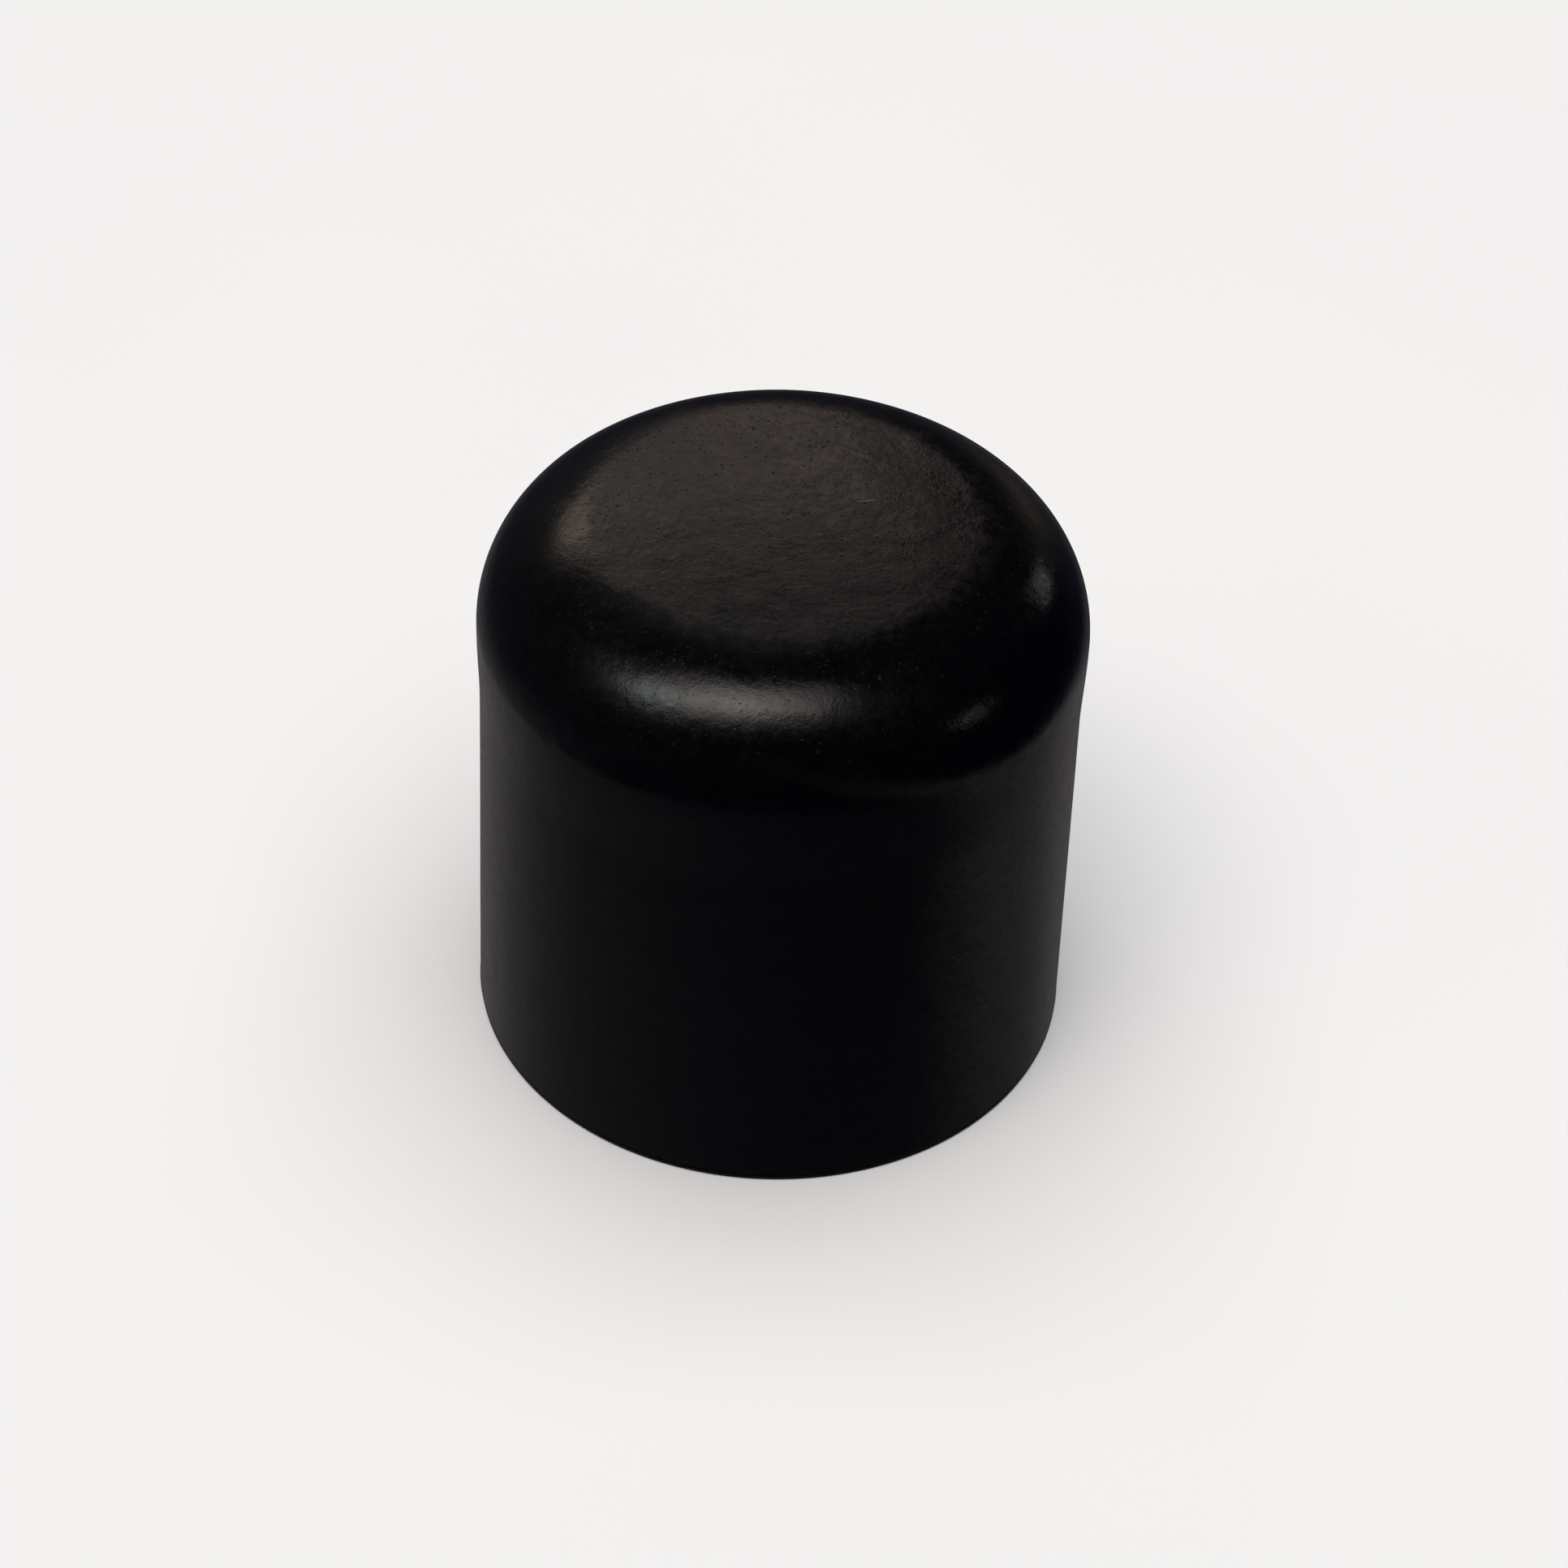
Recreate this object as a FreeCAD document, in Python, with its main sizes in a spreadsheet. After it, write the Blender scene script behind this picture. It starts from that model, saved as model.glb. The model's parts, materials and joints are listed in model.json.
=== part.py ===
import FreeCAD, Part

import math
import os

import Sketcher

# Slip-on rubber pipe cap with a steel disc captive at the blind end of its bore.
#
# The cap stands on its open mouth. The origin is the centre of the mouth, and +Z runs along
# the cap's axis to the closed end. Every size is in millimetres.

SIZES = {
    # bore for a pipe of 48.3 outside diameter, which stretches the rubber a little
    "bore_radius": 24.0,
    "bore_depth": 46.0,
    # outside of the cap: a skirt that narrows upwards to a waist, then the thick closed end,
    # which swells out a little, turns over a round shoulder and ends in a very shallow dome
    "mouth_radius": 28.6,
    "waist_radius": 27.75,
    "waist_height": 38.4,
    "shoulder_radius": 27.9,
    "shoulder_round": 11.3,
    "dome_radius": 356.0,
    "cap_height": 55.8,
    # mouth
    "rim_round": 0.35,
    "lead_in": 1.2,
    # steel disc, and the undercut that holds it: the disc is wider than the bore
    "disc_radius": 24.4,
    "disc_thickness": 2.0,
    "disc_edge_round": 0.3,
}

document = FreeCAD.newDocument("pipe_cap")


def make_sheet(sizes):
    """Put every driving dimension in a spreadsheet cell with its own alias."""
    sheet = document.addObject("Spreadsheet::Sheet", "sizes")
    for row, (alias, value) in enumerate(sizes.items(), start=1):
        sheet.set(f"A{row}", alias)
        sheet.set(f"B{row}", str(value))
        sheet.setAlias(f"B{row}", alias)
    document.recompute()
    return sheet


def new_body(label):
    body = document.addObject("PartDesign::Body", label)
    body.Label = label
    return body


def new_sketch(body, name, role):
    """A sketch on one of the body's own origin planes."""
    sketch = body.newObject("Sketcher::SketchObject", name)
    plane = next(feature for feature in body.Origin.OriginFeatures if feature.Role == role)
    sketch.AttachmentSupport = (plane, [""])
    sketch.MapMode = "FlatFace"
    return sketch


def bind(sketch, kind, *where, to):
    """Add a dimension to the sketch and drive it from the spreadsheet."""
    constraint = sketch.addConstraint(Sketcher.Constraint(kind, *where, SIZES[to]))
    name = f"{to}_{constraint}"
    sketch.renameConstraint(constraint, name)
    sketch.setExpression(f"Constraints.{name}", f"sizes.{to}")


def join(sketch, *ends):
    """Make the end of each piece of an outline meet the start of the next."""
    for (one, one_end), (other, other_end) in ends:
        sketch.addConstraint(Sketcher.Constraint("Coincident", one, one_end, other, other_end))


def line(sketch, start, end):
    segment = Part.LineSegment(FreeCAD.Vector(*start, 0), FreeCAD.Vector(*end, 0))
    return sketch.addGeometry(segment, False)


def half_section(sketch):
    """The solid half of the cap's outside: mouth, skirt, swell, shoulder, dome, axis."""
    mouth = SIZES["mouth_radius"]
    waist = SIZES["waist_radius"]
    waist_height = SIZES["waist_height"]
    widest = SIZES["shoulder_radius"]
    corner = SIZES["shoulder_round"]
    dome = SIZES["dome_radius"]
    height = SIZES["cap_height"]
    # the shoulder's arc touches the dome's from inside, so their centres are this far apart
    between = dome - corner
    lean = math.asin((widest - corner) / between)
    shoulder_height = height - dome + between * math.cos(lean)
    level, upright = 0, math.pi / 2

    def arc(across, up, radius, start, end):
        circle = Part.Circle(FreeCAD.Vector(across, up, 0), FreeCAD.Vector(0, 0, 1), radius)
        return sketch.addGeometry(Part.ArcOfCircle(circle, start, end), False)

    rim = line(sketch, (0, 0), (mouth, 0))
    skirt = line(sketch, (mouth, 0), (waist, waist_height))
    swell = line(sketch, (waist, waist_height), (widest, shoulder_height))
    shoulder = arc(widest - corner, shoulder_height, corner, level, upright - lean)
    top = arc(0, height - dome, dome, upright - lean, upright)
    axis = line(sketch, (0, height), (0, 0))

    join(
        sketch,
        ((rim, 1), (-1, 1)),
        ((rim, 2), (skirt, 1)),
        ((skirt, 2), (swell, 1)),
        ((swell, 2), (shoulder, 1)),
        ((top, 2), (axis, 1)),
        ((axis, 2), (rim, 1)),
    )
    sketch.addConstraint(Sketcher.Constraint("Tangent", shoulder, 2, top, 1))
    sketch.addConstraint(Sketcher.Constraint("Horizontal", rim))
    sketch.addConstraint(Sketcher.Constraint("Vertical", axis))
    sketch.addConstraint(Sketcher.Constraint("PointOnObject", top, 3, -2))
    # the shoulder's arc starts upright
    sketch.addConstraint(Sketcher.Constraint("Horizontal", shoulder, 3, shoulder, 1))
    bind(sketch, "DistanceX", -1, 1, rim, 2, to="mouth_radius")
    bind(sketch, "DistanceX", -1, 1, skirt, 2, to="waist_radius")
    bind(sketch, "DistanceY", -1, 1, skirt, 2, to="waist_height")
    bind(sketch, "DistanceX", -1, 1, swell, 2, to="shoulder_radius")
    bind(sketch, "Radius", shoulder, to="shoulder_round")
    bind(sketch, "Radius", top, to="dome_radius")
    bind(sketch, "DistanceY", -1, 1, top, 2, to="cap_height")


def seat_section(sketch):
    """Half of the disc's seat: a rectangle from the axis out to the undercut's wall."""
    radius = SIZES["disc_radius"]
    roof = SIZES["bore_depth"]
    thickness = SIZES["disc_thickness"]

    floor = line(sketch, (0, roof - thickness), (radius, roof - thickness))
    wall = line(sketch, (radius, roof - thickness), (radius, roof))
    ceiling = line(sketch, (radius, roof), (0, roof))
    axis = line(sketch, (0, roof), (0, roof - thickness))

    join(
        sketch,
        ((floor, 2), (wall, 1)),
        ((wall, 2), (ceiling, 1)),
        ((ceiling, 2), (axis, 1)),
        ((axis, 2), (floor, 1)),
    )
    sketch.addConstraint(Sketcher.Constraint("Horizontal", floor))
    sketch.addConstraint(Sketcher.Constraint("Horizontal", ceiling))
    sketch.addConstraint(Sketcher.Constraint("Vertical", wall))
    sketch.addConstraint(Sketcher.Constraint("PointOnObject", axis, 1, -2))
    sketch.addConstraint(Sketcher.Constraint("PointOnObject", axis, 2, -2))
    bind(sketch, "DistanceX", -1, 1, wall, 1, to="disc_radius")
    bind(sketch, "DistanceY", -1, 1, ceiling, 2, to="bore_depth")
    bind(sketch, "DistanceY", wall, 1, wall, 2, to="disc_thickness")


def round_outline(sketch, radius_alias):
    """A circle on the cap's axis."""
    centre = FreeCAD.Vector(0, 0, 0)
    circle = Part.Circle(centre, FreeCAD.Vector(0, 0, 1), SIZES[radius_alias])
    outline = sketch.addGeometry(circle, False)
    sketch.addConstraint(Sketcher.Constraint("Coincident", outline, 3, -1, 1))
    bind(sketch, "Radius", outline, to=radius_alias)


def circle_edge(shape, radius, height):
    """The name of the round edge of this radius that lies level at this height."""
    for number, edge in enumerate(shape.Edges, start=1):
        curve = edge.Curve
        if not isinstance(curve, Part.Circle):
            continue
        if abs(curve.Radius - radius) < 0.001 and abs(curve.Center.z - height) < 0.001:
            return f"Edge{number}"
    raise ValueError(f"no round edge of radius {radius} at height {height}")


def make_cap_body():
    """The rubber moulding: turned outside, bore, seat for the disc, and dressed mouth."""
    body = new_body("cap_body")

    outside = new_sketch(body, "half_section", "XZ_Plane")
    half_section(outside)
    blank = body.newObject("PartDesign::Revolution", "blank")
    blank.Profile = outside
    blank.ReferenceAxis = (outside, ["V_Axis"])
    blank.Angle = 360
    document.recompute()
    solid_volume = blank.Shape.Volume

    bore_outline = new_sketch(body, "bore_outline", "XY_Plane")
    round_outline(bore_outline, "bore_radius")
    bore = body.newObject("PartDesign::Pocket", "pipe_bore")
    bore.Profile = bore_outline
    bore.Type = "Length"
    bore.Reversed = True
    bore.setExpression("Length", "sizes.bore_depth")
    document.recompute()
    if bore.Shape.Volume >= solid_volume:
        raise ValueError("the bore removed nothing")
    bored_volume = bore.Shape.Volume

    seat_outline = new_sketch(body, "seat_section", "XZ_Plane")
    seat_section(seat_outline)
    seat = body.newObject("PartDesign::Groove", "disc_seat")
    seat.Profile = seat_outline
    seat.ReferenceAxis = (seat_outline, ["V_Axis"])
    seat.Angle = 360
    document.recompute()
    if seat.Shape.Volume >= bored_volume:
        raise ValueError("the disc's seat removed nothing")

    lead_in = body.newObject("PartDesign::Chamfer", "lead_in")
    lead_in.Base = (seat, [circle_edge(seat.Shape, SIZES["bore_radius"], 0)])
    lead_in.setExpression("Size", "sizes.lead_in")
    document.recompute()

    rim = body.newObject("PartDesign::Fillet", "rim_round")
    rim.Base = (lead_in, [circle_edge(lead_in.Shape, SIZES["mouth_radius"], 0)])
    rim.setExpression("Radius", "sizes.rim_round")
    body.Tip = rim
    document.recompute()
    return body


def make_backing_disc():
    """The stamped steel disc, pressed up against the blind end of the bore."""
    body = new_body("backing_disc")

    outline = new_sketch(body, "disc_outline", "XY_Plane")
    round_outline(outline, "disc_radius")
    blank = body.newObject("PartDesign::Pad", "disc_blank")
    blank.Profile = outline
    blank.setExpression("Length", "sizes.disc_thickness")
    document.recompute()

    radius = SIZES["disc_radius"]
    edges = [circle_edge(blank.Shape, radius, z) for z in (0, SIZES["disc_thickness"])]
    rounded = body.newObject("PartDesign::Fillet", "disc_edge_round")
    rounded.Base = (blank, edges)
    rounded.setExpression("Radius", "sizes.disc_edge_round")
    body.Tip = rounded

    body.setExpression("Placement.Base.z", "sizes.bore_depth - sizes.disc_thickness")
    document.recompute()
    return body


def stop_if_unsound():
    """Stop if any feature failed or any shape isn't sound."""
    for item in document.Objects:
        if {"Invalid", "Error"} & set(item.State):
            raise ValueError(f"{item.Name} is {item.State}")
        if item.isDerivedFrom("Part::Feature"):
            if item.Shape.isNull() or not item.Shape.isValid():
                raise ValueError(f"{item.Name} has no sound shape")


make_sheet(SIZES)
parts = [make_cap_body(), make_backing_disc()]
document.recompute()
stop_if_unsound()

os.makedirs("parts", exist_ok=True)
for part in parts:
    part.Shape.exportStep(f"parts/{part.Label}.step")
    print(part.Label, round(part.Shape.Volume, 1), "mm3", part.Shape.BoundBox)
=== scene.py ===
"""Looks of the slip-on rubber pipe cap: its moulding, the steel disc inside, floor and lights.

The cap stands on its open mouth at the origin, with +Z up along its axis. Lengths are in metres.
"""

import json
import math

import bpy
import numpy as np
from mathutils import Matrix, Vector, noise


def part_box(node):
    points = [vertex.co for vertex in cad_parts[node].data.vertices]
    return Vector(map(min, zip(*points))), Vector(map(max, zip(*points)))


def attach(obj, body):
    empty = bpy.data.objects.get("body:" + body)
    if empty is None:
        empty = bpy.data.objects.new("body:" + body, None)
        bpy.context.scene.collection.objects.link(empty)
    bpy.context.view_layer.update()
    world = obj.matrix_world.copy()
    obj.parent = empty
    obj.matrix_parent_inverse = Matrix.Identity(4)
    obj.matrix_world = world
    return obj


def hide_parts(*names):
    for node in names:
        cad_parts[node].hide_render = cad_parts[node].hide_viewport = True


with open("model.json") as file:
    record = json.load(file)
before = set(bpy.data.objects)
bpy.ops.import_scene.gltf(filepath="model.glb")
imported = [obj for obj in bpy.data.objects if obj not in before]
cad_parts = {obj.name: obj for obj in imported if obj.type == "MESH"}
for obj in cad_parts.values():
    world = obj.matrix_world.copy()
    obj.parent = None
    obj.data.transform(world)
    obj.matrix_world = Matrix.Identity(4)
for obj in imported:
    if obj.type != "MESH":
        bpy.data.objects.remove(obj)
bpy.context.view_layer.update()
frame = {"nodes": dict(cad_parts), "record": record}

MM = 0.001
CAP_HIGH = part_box("cap_body")[1]
DISC_LOW, DISC_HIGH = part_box("backing_disc")
MOUNTS = {mount["name"]: mount for mount in frame["record"]["mounts"]}

# sizes of the moulding that its box and mounts don't give
HEIGHT = CAP_HIGH.z
MOUTH = CAP_HIGH.x
BORE = MOUNTS["pipe_bore"]["dims"]["r_mm"] * MM
SEAT = DISC_HIGH.x
WAIST = 27.75 * MM
WAIST_HEIGHT = 38.4 * MM
WIDEST = 27.9 * MM
SHOULDER = 11.3 * MM
DOME = 356 * MM
LEAD_IN = 1.2 * MM
RIM_ROUND = 0.35 * MM
# the shoulder's arc touches the dome's from inside, and stops where its normal leans this far
BETWEEN_CENTRES = DOME - SHOULDER
LEAN = math.asin((WIDEST - SHOULDER) / BETWEEN_CENTRES)
SHOULDER_HEIGHT = HEIGHT - DOME + BETWEEN_CENTRES * math.cos(LEAN)


# ---------------------------------------------------------------- geometry of the moulding

# points round each ring, and rings along each part of the outline
AROUND = 288
RIM_STEPS = 8
SKIRT_STEPS = 112
SHOULDER_STEPS = 56
DOME_STEPS = 42

# how far the surface sinks in slow waves, and the scales of the noise behind them, per metre
WAVE_DEPTH = 0.055 * MM
BROAD_WAVES, NARROW_WAVES, FLASH_WAVES = 55, 120, 260
# the flash: its height above the mouth, half its width, and how far it stands out
FLASH_HEIGHT, FLASH_WIDTH, FLASH = RIM_ROUND + 0.15 * MM, 0.09 * MM, 0.07 * MM


def stretch(start, end, step):
    """Points from start up to, not including, end, about a step apart."""
    start, end = np.array(start), np.array(end)
    count = max(1, round(float(np.linalg.norm(end - start)) / step))
    return [tuple(start + (end - start) * k / count) for k in range(count)]


def arc(centre, radius, start, end, count):
    """Points on an arc, angles in degrees from the outward direction, without the last one."""
    angles = [math.radians(start + (end - start) * k / count) for k in range(count)]
    return [(centre[0] + radius * math.cos(a), centre[1] + radius * math.sin(a)) for a in angles]


def smooth(value, low, high):
    """0 below low, 1 above high, and an easy curve between."""
    share = min(1.0, max(0.0, (value - low) / (high - low)))
    return share * share * (3 - 2 * share)


def skirt_radius(height):
    """Outside radius of the skirt: an even taper to the waist, then the swell of the thick end."""
    taper = MOUTH + (WAIST - MOUTH) * height / WAIST_HEIGHT
    taper_at_shoulder = MOUTH + (WAIST - MOUTH) * SHOULDER_HEIGHT / WAIST_HEIGHT
    swell = smooth(height, WAIST_HEIGHT - 3 * MM, SHOULDER_HEIGHT)
    return taper + (WIDEST - taper_at_shoulder) * swell


def moulding_outline():
    """Half section of the cap: from the blind end down the bore, round the mouth, up and over."""
    fillet = 0.25 * MM
    points = stretch((0, DISC_HIGH.z), (SEAT - fillet, DISC_HIGH.z), 2.5 * MM)
    points += stretch((SEAT, DISC_HIGH.z - fillet), (SEAT, DISC_LOW.z + fillet), 0.5 * MM)
    points += stretch((SEAT - fillet, DISC_LOW.z), (BORE, DISC_LOW.z - fillet), 0.2 * MM)
    points += stretch((BORE, DISC_LOW.z - 2 * fillet), (BORE, LEAD_IN), 0.9 * MM)
    points += stretch((BORE, LEAD_IN), (BORE + LEAD_IN, 0), 0.4 * MM)
    points += stretch((BORE + LEAD_IN, 0), (MOUTH - RIM_ROUND, 0), 0.5 * MM)
    points += arc((MOUTH - RIM_ROUND, RIM_ROUND), RIM_ROUND, -90, 0, RIM_STEPS)
    # close rings over the flash, then even ones up the skirt
    flash_step = 0.06 * MM
    near_rim = RIM_ROUND + flash_step * RIM_STEPS
    span = SHOULDER_HEIGHT - near_rim
    heights = [RIM_ROUND + flash_step * k for k in range(RIM_STEPS)]
    heights += [near_rim + span * k / SKIRT_STEPS for k in range(SKIRT_STEPS)]
    points += [(skirt_radius(z), z) for z in heights]
    lean = math.degrees(LEAN)
    points += arc((WIDEST - SHOULDER, SHOULDER_HEIGHT), SHOULDER, 0, 90 - lean, SHOULDER_STEPS)
    points += arc((0, HEIGHT - DOME), DOME, 90 - lean, 90, DOME_STEPS)
    return points + [(0, HEIGHT)]


def revolve(name, outline):
    """A closed skin from a half section whose first and last points lie near the axis."""
    turns = [2 * math.pi * k / AROUND for k in range(AROUND)]
    verts = [(r * math.cos(t), r * math.sin(t), z) for r, z in outline[1:] for t in turns]
    rings = len(outline) - 1
    faces = []
    for ring in range(rings - 1):
        for k in range(AROUND):
            after = (k + 1) % AROUND
            low, high = ring * AROUND, (ring + 1) * AROUND
            faces.append((low + k, low + after, high + after, high + k))
    first, last = len(verts), len(verts) + 1
    verts += [(0, 0, outline[0][1]), (0, 0, outline[-1][1])]
    top = (rings - 1) * AROUND
    for k in range(AROUND):
        after = (k + 1) % AROUND
        faces.append((first, after, k))
        faces.append((last, top + k, top + after))
    mesh = bpy.data.meshes.new(name)
    mesh.from_pydata(verts, [], faces)
    mesh.shade_smooth()
    piece = bpy.data.objects.new(name, mesh)
    bpy.context.scene.collection.objects.link(piece)
    return piece


def settle(mesh):
    """Give the outside the slow inward waves of cured rubber, and a thin flash at the rim."""
    normals = [vertex.normal.copy() for vertex in mesh.vertices]
    for vertex, normal in zip(mesh.vertices, normals):
        x, y, z = vertex.co
        radius = math.hypot(x, y)
        if z < DISC_HIGH.z + MM and radius < BORE + LEAD_IN + MM:
            continue
        broad = noise.noise(vertex.co * BROAD_WAVES) * 0.5
        narrow = noise.noise(vertex.co * NARROW_WAVES + Vector((3, 1, 7))) * 0.25
        depth = WAVE_DEPTH * (0.8 - broad - narrow) * smooth(z, 0, RIM_ROUND)
        uneven = 0.5 + noise.noise(Vector((x, y, 0)) * FLASH_WAVES) * 0.5
        ridge = math.exp(-(((z - FLASH_HEIGHT) / FLASH_WIDTH) ** 2))
        vertex.co += normal * (FLASH * uneven * ridge - depth)


def make_moulding():
    piece = revolve("rubber_cap", moulding_outline())
    settle(piece.data)
    piece.data.update()
    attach(piece, "root")
    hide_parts("cap_body")
    return piece


# ---------------------------------------------------------------- materials


def add(tree, kind, settings=None, inputs=None):
    """A node with its settings, and its inputs set to values or linked to other nodes' outputs."""
    made = tree.nodes.new(kind)
    for name, value in (settings or {}).items():
        setattr(made, name, value)
    for key, value in (inputs or {}).items():
        if isinstance(value, bpy.types.NodeSocket):
            tree.links.new(value, made.inputs[key])
        else:
            made.inputs[key].default_value = value
    return made


def calc(tree, operation, one, other=0.0):
    made = add(tree, "ShaderNodeMath", {"operation": operation}, {0: one, 1: other})
    return made.outputs[0]


def fade(tree, value, low, high, start=0.0, end=1.0):
    """value mapped smoothly from low..high to start..end."""
    made = add(
        tree,
        "ShaderNodeMapRange",
        {"interpolation_type": "SMOOTHSTEP"},
        {0: value, 1: low, 2: high, 3: start, 4: end},
    )
    return made.outputs[0]


def fade_evenly(tree, value, start, end):
    """value mapped in proportion from -1..1 to start..end."""
    made = add(tree, "ShaderNodeMapRange", inputs={0: value, 1: -1.0, 2: 1.0, 3: start, 4: end})
    return made.outputs[0]


def speckle(tree, coords, scale, detail=2.0, rough=0.5):
    made = add(
        tree,
        "ShaderNodeTexNoise",
        inputs={"Vector": coords, "Scale": scale, "Detail": detail, "Roughness": rough},
    )
    return made.outputs["Fac"]


def ruffle(tree, coords, scale, reach):
    """The coords pushed about by up to half of reach, so that round spots come out uneven."""
    made = add(tree, "ShaderNodeTexNoise", inputs={"Vector": coords, "Scale": scale})
    push = add(
        tree,
        "ShaderNodeVectorMath",
        {"operation": "MULTIPLY_ADD"},
        {0: made.outputs["Color"], 1: (reach, reach, reach), 2: coords},
    )
    return push.outputs[0]


def spots(tree, coords, scale, share, size):
    """Spots in a share of the cells, each up to size of a cell wide: 1 inside, 0 outside."""
    cells = add(tree, "ShaderNodeTexVoronoi", inputs={"Vector": coords, "Scale": scale})
    pick = add(tree, "ShaderNodeSeparateColor", inputs={0: cells.outputs["Color"]})
    chosen = calc(tree, "LESS_THAN", pick.outputs[0], share)
    width = calc(tree, "MULTIPLY_ADD", pick.outputs[1], size * 0.7)
    width.node.inputs[2].default_value = size * 0.3
    inside = calc(tree, "DIVIDE", cells.outputs["Distance"], width)
    return calc(tree, "MULTIPLY", fade(tree, inside, 0.6, 1.0, 1.0, 0.0), chosen)


def streak(tree, coords, middle, turn, size):
    """A soft-edged ellipse about a point, its half length and half width in the coords' units."""
    place = add(
        tree,
        "ShaderNodeMapping",
        {"vector_type": "TEXTURE"},
        {
            "Vector": coords,
            "Location": middle,
            "Rotation": (0, 0, math.radians(turn)),
            "Scale": (size[0], size[1], 1.0),
        },
    )
    ragged = speckle(tree, coords, 4.0, 2.0)
    away = add(tree, "ShaderNodeVectorMath", {"operation": "LENGTH"}, {0: place.outputs[0]})
    edge = calc(tree, "ADD", away.outputs["Value"], fade(tree, ragged, 0.3, 0.7, -0.5, 0.5))
    return fade(tree, edge, 0.6, 1.1, 1.0, 0.0)


def blend(tree, share, one, other):
    made = add(tree, "ShaderNodeMix", {"data_type": "RGBA"}, {0: share, 6: one, 7: other})
    return made.outputs[2]


def new_material(name):
    material = bpy.data.materials.new(name)
    material.use_nodes = True
    tree = material.node_tree
    tree.nodes.clear()
    coords = add(tree, "ShaderNodeTexCoord").outputs["Object"]
    in_mm = add(tree, "ShaderNodeVectorMath", {"operation": "SCALE"}, {0: coords, "Scale": 1 / MM})
    shader = add(tree, "ShaderNodeBsdfPrincipled")
    output = add(tree, "ShaderNodeOutputMaterial", inputs={"Surface": shader.outputs[0]})
    output.is_active_output = True
    return material, tree, in_mm.outputs[0], shader


def rim_wear(tree, mm, grain):
    """How much the rubber is greyed by handling: patches round the mouth's edge."""
    height = add(tree, "ShaderNodeSeparateXYZ", inputs={0: mm}).outputs[2]
    near = fade(tree, height, 0.3, 1.5, 1.0, 0.0)
    return calc(tree, "MULTIPLY", near, fade(tree, grain, 0.42, 0.62, 0.0, 0.8))


def inside_bore(tree, mm):
    """1 on the wall of the bore and on its lead-in, 0 outside the cap."""
    across = add(
        tree, "ShaderNodeVectorMath", {"operation": "MULTIPLY"}, {0: mm, 1: (1.0, 1.0, 0.0)}
    )
    radius = add(tree, "ShaderNodeVectorMath", {"operation": "LENGTH"}, {0: across.outputs[0]})
    height = add(tree, "ShaderNodeSeparateXYZ", inputs={0: mm}).outputs[2]
    lip = (BORE + LEAD_IN) / MM
    near_axis = fade(tree, radius.outputs["Value"], lip - 0.3, lip + 0.3, 1.0, 0.0)
    return calc(tree, "MULTIPLY", near_axis, calc(tree, "LESS_THAN", height, DISC_HIGH.z / MM + 1))


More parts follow.
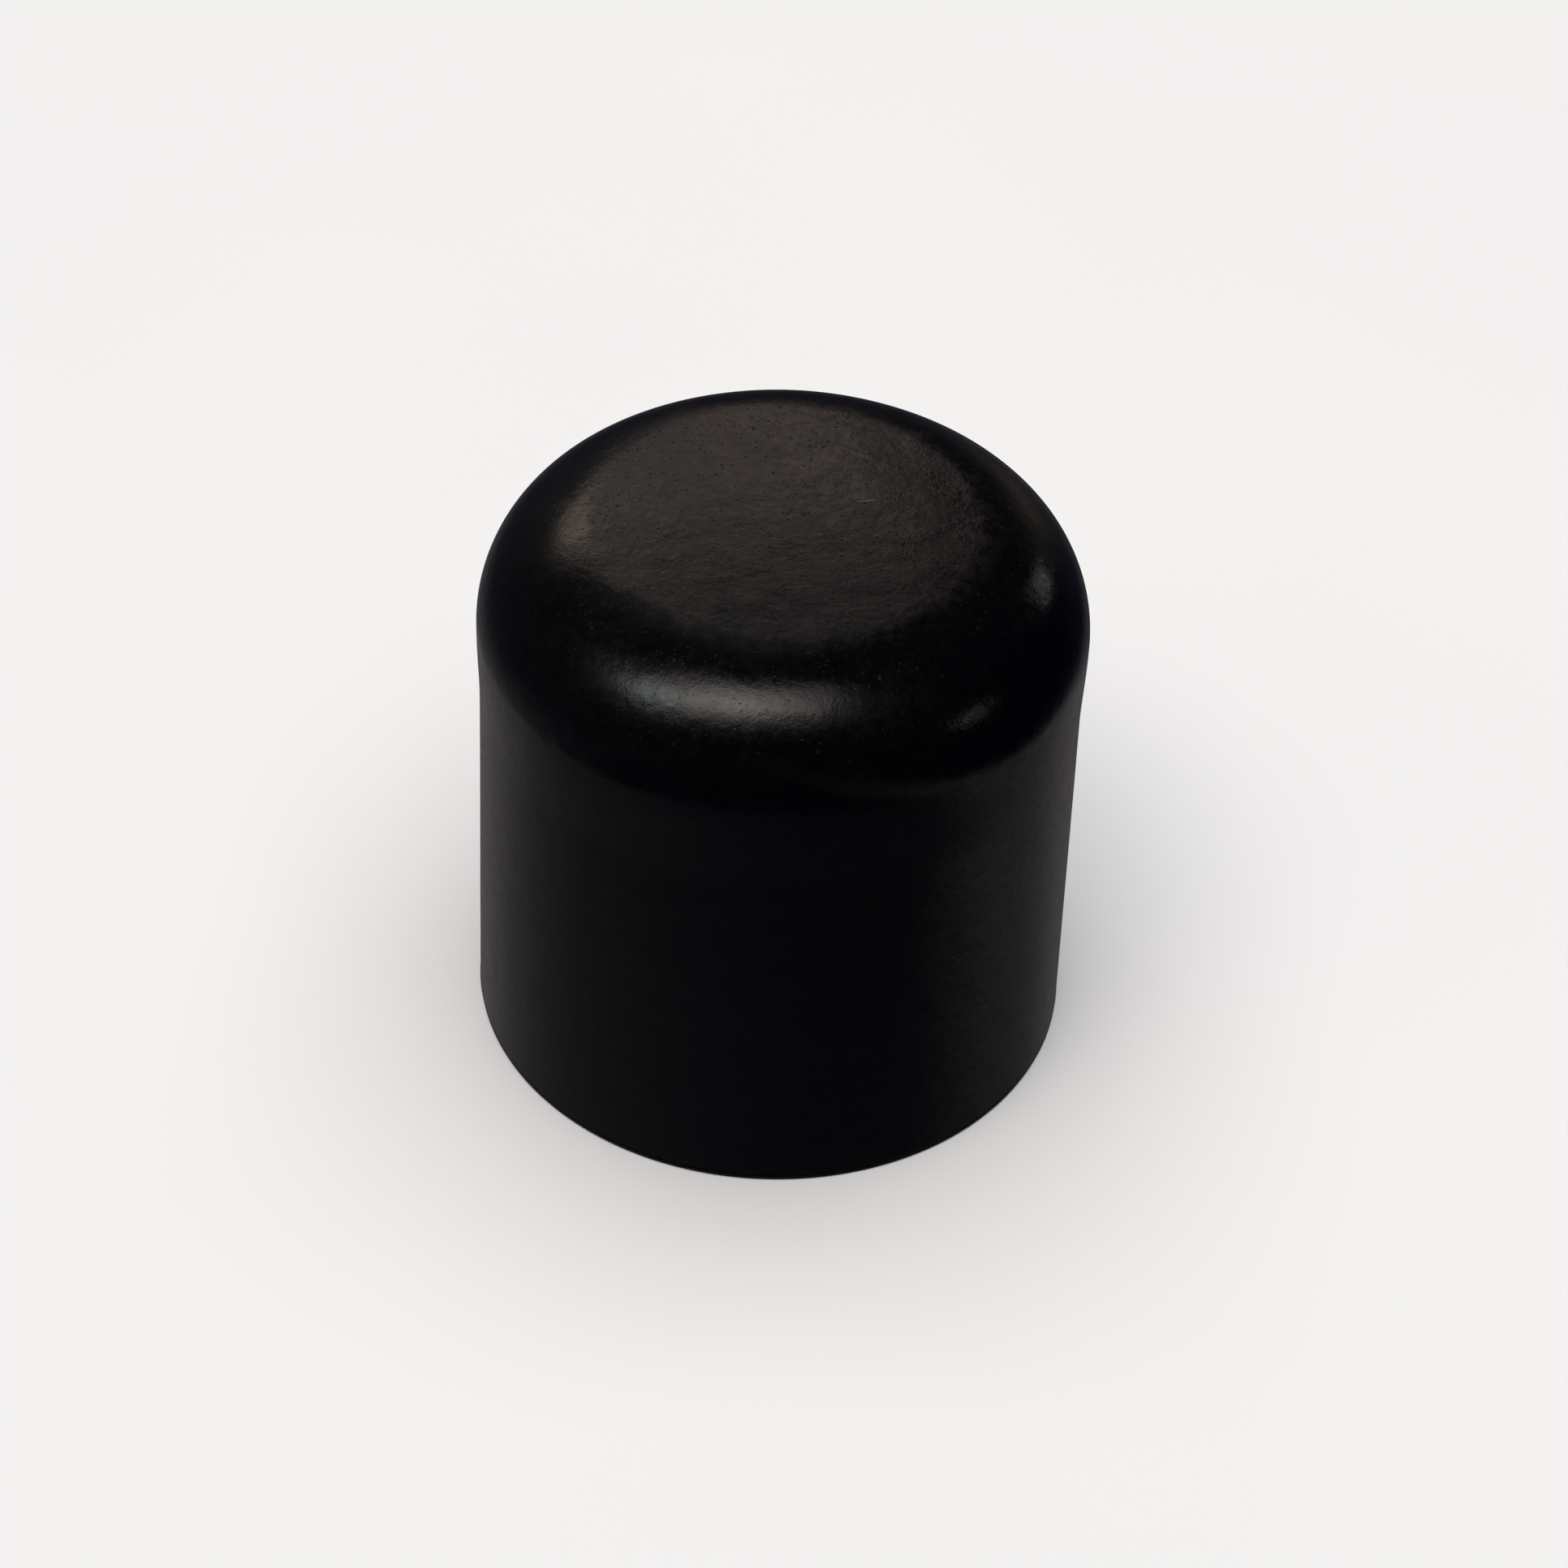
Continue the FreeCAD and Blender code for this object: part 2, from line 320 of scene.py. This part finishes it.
def moulded_rubber():
    """Satin black rubber, uneven and pitted with painted shade in the pits, dust and a scuff on
    top, talc inside.
    """
    material, tree, mm, shader = new_material("moulded_rubber")
    normal = add(tree, "ShaderNodeNewGeometry").outputs["Normal"]
    up = add(tree, "ShaderNodeSeparateXYZ", inputs={0: normal}).outputs[2]
    on_top = fade(tree, up, 0.96, 0.998)
    inside = inside_bore(tree, mm)

    ragged = ruffle(tree, mm, 3.0, 0.5)
    waves = speckle(tree, mm, 0.33, 2.0, 0.45)
    grain = speckle(tree, mm, 1.5, 3.0, 0.65)
    fine_grain = speckle(tree, mm, 6.0, 2.0, 0.5)
    bloom = speckle(tree, mm, 0.22, 4.0, 0.62)
    mottle = speckle(tree, ragged, 1.1, 4.0, 0.7)
    pits = spots(tree, ragged, 2.0, fade(tree, waves, 0.35, 0.65, 0.25, 0.95), 0.3)
    flecks = spots(tree, ragged, 1.3, 0.35, 0.22)
    scuff = streak(tree, mm, (6.9, 2.6, HEIGHT / MM), 12, (1.0, 0.16))
    flecks_on_top = calc(tree, "MULTIPLY", flecks, fade(tree, up, 0.6, 0.98, 0.02, 0.6))

    uneven = calc(
        tree, "ADD", calc(tree, "MULTIPLY", bloom, 0.35), calc(tree, "MULTIPLY", mottle, 0.65)
    )
    black = blend(
        tree,
        fade(tree, uneven, 0.37, 0.63),
        (0.003, 0.003, 0.0035, 1),
        (0.006, 0.0058, 0.006, 1),
    )
    patchy = speckle(tree, ragged, 0.8, 3.0, 0.65)
    dust = calc(tree, "MULTIPLY", on_top, fade(tree, patchy, 0.42, 0.62, 0.05, 1.0))
    dusty = blend(tree, dust, black, (0.018, 0.015, 0.013, 1))
    worn = blend(tree, rim_wear(tree, mm, grain), dusty, (0.02, 0.019, 0.018, 1))
    flecked = blend(tree, flecks_on_top, worn, (0.05, 0.043, 0.037, 1))
    # painted shade: the pits are coloured darker than the rubber round them, as if shade sat in
    # them
    with_painted_pit_shade = blend(tree, pits, flecked, (0.0015, 0.0015, 0.0018, 1))
    scuffed = blend(tree, scuff, with_painted_pit_shade, (0.2, 0.17, 0.13, 1))
    # the talc that frees the moulding from its core stays in the bore
    talc = calc(tree, "MULTIPLY", inside, fade(tree, patchy, 0.4, 0.7, 0.15, 0.7))
    talced = blend(tree, talc, scuffed, (0.07, 0.068, 0.064, 1))
    tree.links.new(talced, shader.inputs["Base Color"])

    base = calc(
        tree, "ADD", fade(tree, bloom, 0.35, 0.65, 0.14, 0.18), calc(tree, "MULTIPLY", dust, 0.05)
    )
    grained = calc(tree, "ADD", base, fade(tree, mottle, 0.35, 0.65, -0.04, 0.07))
    deep_pits = calc(tree, "MULTIPLY", pits, fade(tree, up, 0.75, 0.98, 0.03, 0.3))
    pit_rough = calc(tree, "ADD", grained, deep_pits)
    fleck_rough = calc(tree, "ADD", pit_rough, calc(tree, "MULTIPLY", flecks_on_top, 0.3))
    rough = calc(tree, "ADD", fleck_rough, calc(tree, "MULTIPLY", talc, 0.4))
    tree.links.new(rough, shader.inputs["Roughness"])

    # the core's turning marks, as rings a third of a millimetre apart
    flattened = add(
        tree, "ShaderNodeMapping", inputs={"Vector": mm, "Scale": (0.03, 0.03, 3.0)}
    )
    turned = calc(tree, "MULTIPLY", speckle(tree, flattened.outputs[0], 1.0, 2.0, 0.5), inside)

    # depths in millimetres
    relief = calc(tree, "MULTIPLY", waves, 0.055)
    for texture, depth in (
        (grain, 0.022),
        (fine_grain, 0.005),
        (pits, -0.01),
        (scuff, 0.02),
        (turned, 0.04),
    ):
        relief = calc(tree, "ADD", relief, calc(tree, "MULTIPLY", texture, depth))
    bump = add(tree, "ShaderNodeBump", inputs={"Distance": MM, "Height": relief})
    tree.links.new(bump.outputs[0], shader.inputs["Normal"])
    shader.inputs["IOR"].default_value = 1.5
    return material


def zinc_plated_steel():
    """Bright zinc plating on stamped steel: fine scratches, dull patches and a few white spots."""
    material, tree, mm, shader = new_material("zinc_plated_steel")
    flattened = add(
        tree,
        "ShaderNodeMapping",
        inputs={"Vector": mm, "Scale": (0.15, 2.5, 1.0), "Rotation": (0, 0, 0.5)},
    )
    rolled = speckle(tree, flattened.outputs[0], 2.0, 4.0, 0.6)
    patches = speckle(tree, mm, 0.12, 3.0, 0.6)
    bloom = spots(tree, mm, 0.22, 0.3, 0.35)
    base = blend(tree, patches, (0.52, 0.54, 0.57, 1), (0.66, 0.67, 0.67, 1))
    colour = blend(tree, calc(tree, "MULTIPLY", bloom, 0.45), base, (0.78, 0.78, 0.75, 1))
    tree.links.new(colour, shader.inputs["Base Color"])
    dull = fade(tree, patches, 0.3, 0.7, 0.24, 0.42)
    rough = calc(tree, "ADD", dull, calc(tree, "MULTIPLY", bloom, 0.25))
    tree.links.new(rough, shader.inputs["Roughness"])
    shader.inputs["Metallic"].default_value = 1.0
    bump = add(
        tree,
        "ShaderNodeBump",
        inputs={"Strength": 1.0, "Distance": 0.006 * MM, "Height": rolled},
    )
    tree.links.new(bump.outputs[0], shader.inputs["Normal"])
    return material


def dress(piece, material):
    piece.data.materials.clear()
    piece.data.materials.append(material)


# ---------------------------------------------------------------- stage, lights and camera

LAMP_DISTANCE = 2.0
# half the width of a glow's sharp edge, as a sine
EDGE_SOFTNESS = 0.015
# the camera's pitch and roll in degrees, its distance in widths of the cap, and its lens in mm
PITCH, ROLL = 40.4, 2.4
WIDTHS_AWAY = 5.75
LENS = 78.3


def direction(azimuth, elevation):
    """Unit vector at an azimuth from +Y towards +X and an elevation above the floor, in degrees."""
    a, e = math.radians(azimuth), math.radians(elevation)
    return Vector((math.sin(a) * math.cos(e), math.cos(a) * math.cos(e), math.sin(e)))


def make_floor():
    """A pale floor that sweeps up all round into a pale wall."""
    flat, sweep, wall = 1.1, 0.5, 0.6
    outline = [(0, 0)] + stretch((0.02, 0), (flat, 0), 0.12)
    outline += arc((flat, sweep), sweep, -90, 0, 16)
    outline += [(flat + sweep, sweep), (flat + sweep, sweep + wall)]
    sides = 64
    turns = [2 * math.pi * k / sides for k in range(sides)]
    verts = [(r * math.cos(t), r * math.sin(t), z) for r, z in outline[1:] for t in turns]
    faces = []
    for ring in range(len(outline) - 2):
        for k in range(sides):
            after = (k + 1) % sides
            low, high = ring * sides, (ring + 1) * sides
            faces.append((low + k, low + after, high + after, high + k))
    faces.append(tuple(range(sides)))
    mesh = bpy.data.meshes.new("floor")
    mesh.from_pydata(verts, [], faces)
    mesh.shade_smooth()
    floor = bpy.data.objects.new("floor", mesh)
    bpy.context.scene.collection.objects.link(floor)
    material, tree, mm, shader = new_material("pale_floor")
    tone = speckle(tree, mm, 0.01, 2.0)
    tree.links.new(
        blend(tree, tone, (0.80, 0.80, 0.80, 1), (0.84, 0.84, 0.83, 1)),
        shader.inputs["Base Color"],
    )
    shader.inputs["Roughness"].default_value = 0.8
    shader.inputs["Specular IOR Level"].default_value = 0.2
    dress(floor, material)
    # black rubber would mirror a white floor, so the cap sees the dim surroundings of the world
    # and the lamps beyond the floor's wall instead
    floor.visible_glossy = False
    floor.visible_diffuse = False
    floor.visible_shadow = False
    return floor


def light_only(source, *receivers):
    """Let a lamp light only these objects."""
    group = bpy.data.collections.new(source.name + "_lights")
    for receiver in receivers:
        group.objects.link(receiver)
    source.light_linking.receiver_collection = group


def lamp(name, azimuth, elevation, tilt, size, radiance, colour):
    """A soft rectangular lamp; size is its width and height as they'd be one metre away."""
    width, height = (LAMP_DISTANCE * length for length in size)
    data = bpy.data.lights.new(name, "AREA")
    data.shape = "RECTANGLE"
    data.size, data.size_y = width, height
    data.energy = radiance * math.pi * width * height
    data.color = colour
    made = bpy.data.objects.new(name, data)
    back, across, _ = tilted_axes(azimuth, elevation, tilt)
    turn = Matrix((across, back.cross(across), back)).transposed()
    target = Vector((0, 0, HEIGHT))
    made.matrix_world = Matrix.Translation(target + back * LAMP_DISTANCE) @ turn.to_4x4()
    made.visible_camera = False
    bpy.context.scene.collection.objects.link(made)
    return made


def tilted_axes(azimuth, elevation, tilt):
    """A direction and the two axes square to it, the first turned from level by tilt degrees."""
    towards = direction(azimuth, elevation)
    level = towards.cross(Vector((0, 0, 1))).normalized()
    rise = level.cross(towards)
    turn = math.radians(tilt)
    across = level * math.cos(turn) + rise * math.sin(turn)
    return towards, across, across.cross(towards)


def glow(tree, ray, azimuth, elevation, tilt, spread, colour, edge=None):
    """A patch of the world that fades smoothly away from its middle over a width and a height.

    With an edge, it stops short at that azimuth, as light does at the side of a doorway.
    """
    towards, across, along = tilted_axes(azimuth, elevation, tilt)
    squares = []
    for axis, reach in ((across, spread[0]), (along, spread[1])):
        share = calc(tree, "DIVIDE", dot(tree, ray, axis), reach)
        squares.append(calc(tree, "MULTIPLY", share, share))
    fall = calc(tree, "EXPONENT", calc(tree, "MULTIPLY", calc(tree, "ADD", *squares), -1.0))
    shown = calc(tree, "MULTIPLY", fall, calc(tree, "GREATER_THAN", dot(tree, ray, towards), 0.0))
    if edge is not None:
        past = dot(tree, ray, direction(edge + 90, 0))
        short = fade(tree, past, -EDGE_SOFTNESS, EDGE_SOFTNESS, 1.0, 0.0)
        shown = calc(tree, "MULTIPLY", shown, short)
    return tint(tree, colour, shown)


def dot(tree, one, other):
    made = add(tree, "ShaderNodeVectorMath", {"operation": "DOT_PRODUCT"}, {0: one, 1: other})
    return made.outputs["Value"]


def tint(tree, colour, amount):
    made = add(
        tree, "ShaderNodeVectorMath", {"operation": "SCALE"}, {0: colour, "Scale": amount}
    )
    return made.outputs[0]


# azimuth, elevation and tilt in degrees, how far it reaches each way as a sine, its colour, and
# the azimuth where it stops short, if it does
GLOWS = [
    # bright middle of the window
    (-145, 60, -30, (0.35, 0.2), (3.4, 3.1, 2.9)),
    # warm doorway low behind the cap: its lit wall, its bright edge, and the room round it
    (-20, 34, 10, (0.2, 0.05), (2.5, 2.0, 1.6), 6),
    (0, 30, 60, (0.2, 0.04), (0.9, 0.7, 0.6), 6),
    (-5, 40, 30, (0.5, 0.35), (0.12, 0.12, 0.12), 6),
    # faint light behind on the right, and low on both sides
    (25, 5, 45, (0.2, 0.15), (0.12, 0.1, 0.07)),
    (-45, -35, 0, (0.7, 0.2), (0.1, 0.09, 0.09)),
    (40, -38, 0, (0.3, 0.12), (0.09, 0.08, 0.07)),
    (110, -35, 20, (0.8, 0.07), (0.15, 0.14, 0.12)),
]


def make_world():
    """Dim surroundings with soft glows and a table's tone below, and plain pale to the camera."""
    world = bpy.data.worlds.new("surroundings")
    bpy.context.scene.world = world
    world.use_nodes = True
    tree = world.node_tree
    tree.nodes.clear()
    ray = add(tree, "ShaderNodeTexCoord").outputs["Generated"]
    x, y, z = add(tree, "ShaderNodeSeparateXYZ", inputs={0: ray}).outputs

    left, behind = fade_evenly(tree, x, 1.0, 0.0), fade_evenly(tree, y, 0.0, 1.0)
    # the table's tone starts well below the horizon, palest on the left and behind
    below = fade(tree, z, -0.62, -0.58, 1.0, 0.0)
    layers = [
        (0.001, 0.002, 0.015),
        tint(tree, (0.03, 0.025, 0.02), calc(tree, "MULTIPLY", left, behind)),
        tint(tree, (0.06, 0.055, 0.055), calc(tree, "MULTIPLY", below, left)),
        tint(tree, (0.05, 0.05, 0.045), calc(tree, "MULTIPLY", below, behind)),
    ]
    layers += [glow(tree, ray, *patch) for patch in GLOWS]
    total = layers[0]
    for layer in layers[1:]:
        joined = add(tree, "ShaderNodeVectorMath", {"operation": "ADD"}, {0: total, 1: layer})
        total = joined.outputs[0]

    dim = add(tree, "ShaderNodeBackground", inputs={"Color": total, "Strength": 1.0})
    pale = add(tree, "ShaderNodeBackground", inputs={"Color": (0.8, 0.8, 0.8, 1), "Strength": 1.0})
    to_camera = add(tree, "ShaderNodeLightPath").outputs["Is Camera Ray"]
    mixed = add(
        tree, "ShaderNodeMixShader", inputs={0: to_camera, 1: dim.outputs[0], 2: pale.outputs[0]}
    )
    add(tree, "ShaderNodeOutputWorld", inputs={"Surface": mixed.outputs[0]})


def make_camera():
    """Seen from in front and about forty degrees above, a third of a metre away."""
    pitch, roll = math.radians(PITCH), math.radians(ROLL)
    distance = WIDTHS_AWAY * 2 * WIDEST
    forward = Vector((0, math.cos(pitch), -math.sin(pitch)))
    level, rising = Vector((1, 0, 0)), Vector((0, math.sin(pitch), math.cos(pitch)))
    right = level * math.cos(roll) + rising * math.sin(roll)
    up = rising * math.cos(roll) - level * math.sin(roll)
    data = bpy.data.cameras.new("camera")
    data.sensor_width = 36
    data.lens = LENS
    data.shift_x = 0.0039
    data.shift_y = -0.0198
    camera = bpy.data.objects.new("camera", data)
    turn = Matrix((right, up, -forward)).transposed()
    middle = Vector((0, 0, HEIGHT / 2))
    camera.matrix_world = Matrix.Translation(middle - forward * distance) @ turn.to_4x4()
    bpy.context.scene.collection.objects.link(camera)
    bpy.context.scene.camera = camera


def make_lights(floor, shown):
    lamps = [
        # a window of two panes on the left, in front
        lamp("low_pane", -120, 46, 15, (0.25, 0.3), 1.3, (0.75, 1.0, 1.0)),
        lamp("high_pane", -175, 70, -5, (0.5, 0.45), 0.65, (1.0, 0.95, 0.9)),
        # small lights on the right
        lamp("side_spot", 48, 16, 40, (0.1, 0.2), 0.9, (0.9, 1.0, 0.85)),
        lamp("far_spot", 108, 14, -5, (0.15, 0.08), 0.9, (0.9, 1.0, 0.8)),
    ]
    # lifts the side away from the window out of the black, without a reflection of its own
    fill = lamp("fill", 0, -9, 0, (1.0, 0.45), 13.0, (1.0, 0.99, 0.97))
    fill.visible_glossy = False
    for each in lamps + [fill]:
        light_only(each, *shown)
    overhead = lamp("overhead", 0, 89.9, 0, (1.3, 1.3), 2.6, (1, 1, 1))
    light_only(overhead, floor)


scene = bpy.context.scene
scene.view_settings.view_transform = "Standard"

moulding = make_moulding()
dress(moulding, moulded_rubber())
disc = frame["nodes"]["backing_disc"]
dress(disc, zinc_plated_steel())

floor = make_floor()
make_lights(floor, [moulding, disc])
make_world()
make_camera()
